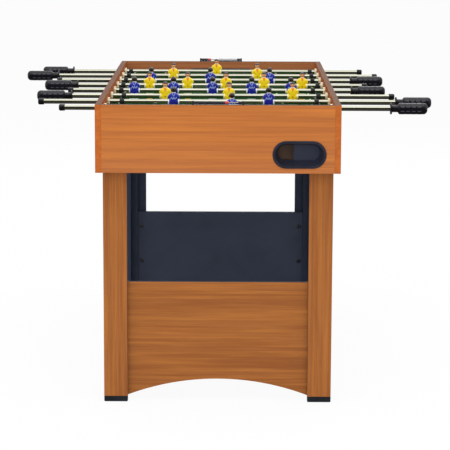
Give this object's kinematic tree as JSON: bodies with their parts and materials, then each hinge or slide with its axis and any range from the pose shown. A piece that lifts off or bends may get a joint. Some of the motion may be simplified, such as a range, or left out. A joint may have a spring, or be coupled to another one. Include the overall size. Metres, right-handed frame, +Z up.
{
  "type": "foosball table",
  "caption": "Free-standing foosball table: wood cabinet on four braced legs, sliding and turning rods of men with handles, goals, ball pockets and sliding bead scorers.",
  "frame": {"origin": "on the floor under the centre of the cabinet", "axes": "+X to the right across the table along the rods, +Y from the near end to the far end along the table, +Z up"},
  "size_m": [1.1205, 1.2242, 0.786],
  "materials": {
    "cabinet_wood": "satin",
    "leg_wood": "satin",
    "panel_wood": "satin",
    "batten_wood": "matte",
    "green_field": "satin",
    "black_plastic": "satin",
    "pocket_plastic": "satin",
    "hardboard": "matte",
    "black_steel": "satin",
    "chrome_steel": "polished",
    "black_grip": "satin",
    "blue_team": "gloss",
    "yellow_team": "gloss",
    "black_rubber": "matte",
    "cream_nylon": "satin",
    "score_beads": "gloss"
  },
  "bodies": {
    "table": {"side_panel_left": "cabinet_wood", "side_panel_right": "cabinet_wood", "end_panel_near": "cabinet_wood", "end_panel_far": "cabinet_wood", "playfield": "green_field", "playfield_cleats": "batten_wood", "goals": "black_plastic", "ball_pockets": "pocket_plastic", "ball_chutes": "hardboard", "leg_near_left": "leg_wood", "leg_near_right": "leg_wood", "leg_far_left": "leg_wood", "leg_far_right": "leg_wood", "leg_feet": "black_plastic", "lower_panel_near": "panel_wood", "lower_panel_far": "panel_wood", "assembly_bolts": "black_steel", "scorer_frames": "black_plastic"},
    "bushes_1": {"bushes_1": "cream_nylon"},
    "rod_set_1": {"rod_1": "chrome_steel", "handle_1": "black_grip", "men_1": "blue_team"},
    "bumpers_1": {"bumpers_1": "black_rubber"},
    "bushes_2": {"bushes_2": "cream_nylon"},
    "rod_set_2": {"rod_2": "chrome_steel", "handle_2": "black_grip", "men_2": "blue_team"},
    "bumpers_2": {"bumpers_2": "black_rubber"},
    "bushes_3": {"bushes_3": "cream_nylon"},
    "rod_set_3": {"rod_3": "chrome_steel", "handle_3": "black_grip", "men_3": "yellow_team"},
    "bumpers_3": {"bumpers_3": "black_rubber"},
    "bushes_4": {"bushes_4": "cream_nylon"},
    "rod_set_4": {"rod_4": "chrome_steel", "handle_4": "black_grip", "men_4": "blue_team"},
    "bumpers_4": {"bumpers_4": "black_rubber"},
    "bushes_5": {"bushes_5": "cream_nylon"},
    "rod_set_5": {"rod_5": "chrome_steel", "handle_5": "black_grip", "men_5": "yellow_team"},
    "bumpers_5": {"bumpers_5": "black_rubber"},
    "bushes_6": {"bushes_6": "cream_nylon"},
    "rod_set_6": {"rod_6": "chrome_steel", "handle_6": "black_grip", "men_6": "blue_team"},
    "bumpers_6": {"bumpers_6": "black_rubber"},
    "bushes_7": {"bushes_7": "cream_nylon"},
    "rod_set_7": {"rod_7": "chrome_steel", "handle_7": "black_grip", "men_7": "yellow_team"},
    "bumpers_7": {"bumpers_7": "black_rubber"},
    "bushes_8": {"bushes_8": "cream_nylon"},
    "rod_set_8": {"rod_8": "chrome_steel", "handle_8": "black_grip", "men_8": "yellow_team"},
    "bumpers_8": {"bumpers_8": "black_rubber"},
    "near_score_beads": {"score_beads_near": "score_beads"},
    "far_score_beads": {"score_beads_far": "score_beads"}
  },
  "joints": [
    {"name": "rod_1_turn", "type": "hinge", "parent": "table", "child": "bushes_1", "pos_m": [0, -0.48475, 0.747], "axis": [1, 0, 0], "continuous": true},
    {"name": "rod_1_slide", "type": "slide", "parent": "bushes_1", "child": "rod_set_1", "axis": [1, 0, 0], "range_m": [-0.1275, 0.082]},
    {"name": "bumpers_1_slide", "type": "slide", "parent": "table", "child": "bumpers_1", "axis": [1, 0, 0], "range_m": [-0.01275, 0.0082]},
    {"name": "rod_2_turn", "type": "hinge", "parent": "table", "child": "bushes_2", "pos_m": [0, -0.34625, 0.747], "axis": [1, 0, 0], "continuous": true},
    {"name": "rod_2_slide", "type": "slide", "parent": "bushes_2", "child": "rod_set_2", "axis": [1, 0, 0], "range_m": [-0.1377, 0.1257]},
    {"name": "bumpers_2_slide", "type": "slide", "parent": "table", "child": "bumpers_2", "axis": [1, 0, 0], "range_m": [-0.02479, 0.02263]},
    {"name": "rod_3_turn", "type": "hinge", "parent": "table", "child": "bushes_3", "pos_m": [0, -0.20775, 0.747], "axis": [1, 0, 0], "continuous": true},
    {"name": "rod_3_slide", "type": "slide", "parent": "bushes_3", "child": "rod_set_3", "axis": [1, 0, 0], "range_m": [-0.1112, 0.0592]},
    {"name": "bumpers_3_slide", "type": "slide", "parent": "table", "child": "bumpers_3", "axis": [1, 0, 0], "range_m": [-0.02224, 0.01184]},
    {"name": "rod_4_turn", "type": "hinge", "parent": "table", "child": "bushes_4", "pos_m": [0, -0.06925, 0.747], "axis": [1, 0, 0], "continuous": true},
    {"name": "rod_4_slide", "type": "slide", "parent": "bushes_4", "child": "rod_set_4", "axis": [1, 0, 0], "range_m": [-0.0222, 0.0602]},
    {"name": "bumpers_4_slide", "type": "slide", "parent": "table", "child": "bumpers_4", "axis": [1, 0, 0], "range_m": [-0.00777, 0.02107]},
    {"name": "rod_5_turn", "type": "hinge", "parent": "table", "child": "bushes_5", "pos_m": [0, 0.06925, 0.747], "axis": [1, 0, 0], "continuous": true},
    {"name": "rod_5_slide", "type": "slide", "parent": "bushes_5", "child": "rod_set_5", "axis": [1, 0, 0], "range_m": [-0.0582, 0.0242]},
    {"name": "bumpers_5_slide", "type": "slide", "parent": "table", "child": "bumpers_5", "axis": [1, 0, 0], "range_m": [-0.00582, 0.00242]},
    {"name": "rod_6_turn", "type": "hinge", "parent": "table", "child": "bushes_6", "pos_m": [0, 0.20775, 0.747], "axis": [1, 0, 0], "continuous": true},
    {"name": "rod_6_slide", "type": "slide", "parent": "bushes_6", "child": "rod_set_6", "axis": [1, 0, 0], "range_m": [-0.0572, 0.1132]},
    {"name": "bumpers_6_slide", "type": "slide", "parent": "table", "child": "bumpers_6", "axis": [1, 0, 0], "range_m": [-0.00572, 0.01132]},
    {"name": "rod_7_turn", "type": "hinge", "parent": "table", "child": "bushes_7", "pos_m": [0, 0.34625, 0.747], "axis": [1, 0, 0], "continuous": true},
    {"name": "rod_7_slide", "type": "slide", "parent": "bushes_7", "child": "rod_set_7", "axis": [1, 0, 0], "range_m": [-0.1167, 0.1467]},
    {"name": "bumpers_7_slide", "type": "slide", "parent": "table", "child": "bumpers_7", "axis": [1, 0, 0], "range_m": [-0.007, 0.0088]},
    {"name": "rod_8_turn", "type": "hinge", "parent": "table", "child": "bushes_8", "pos_m": [0, 0.48475, 0.747], "axis": [1, 0, 0], "continuous": true},
    {"name": "rod_8_slide", "type": "slide", "parent": "bushes_8", "child": "rod_set_8", "axis": [1, 0, 0], "range_m": [-0.1035, 0.134]},
    {"name": "bumpers_8_slide", "type": "slide", "parent": "table", "child": "bumpers_8", "axis": [1, 0, 0], "range_m": [-0.00621, 0.00804]},
    {"name": "near_score_slide", "type": "slide", "parent": "table", "child": "near_score_beads", "axis": [1, 0, 0], "range_m": [0, 0.0229]},
    {"name": "far_score_slide", "type": "slide", "parent": "table", "child": "far_score_beads", "axis": [1, 0, 0], "range_m": [-0.0229, 0]}
  ],
  "couplings": [
    {"joint": "bumpers_1_slide", "follows": "rod_1_slide", "ratio": 0.1},
    {"joint": "bumpers_2_slide", "follows": "rod_2_slide", "ratio": 0.18},
    {"joint": "bumpers_3_slide", "follows": "rod_3_slide", "ratio": 0.2},
    {"joint": "bumpers_4_slide", "follows": "rod_4_slide", "ratio": 0.35},
    {"joint": "bumpers_5_slide", "follows": "rod_5_slide", "ratio": 0.1},
    {"joint": "bumpers_6_slide", "follows": "rod_6_slide", "ratio": 0.1},
    {"joint": "bumpers_7_slide", "follows": "rod_7_slide", "ratio": 0.06},
    {"joint": "bumpers_8_slide", "follows": "rod_8_slide", "ratio": 0.06}
  ]
}
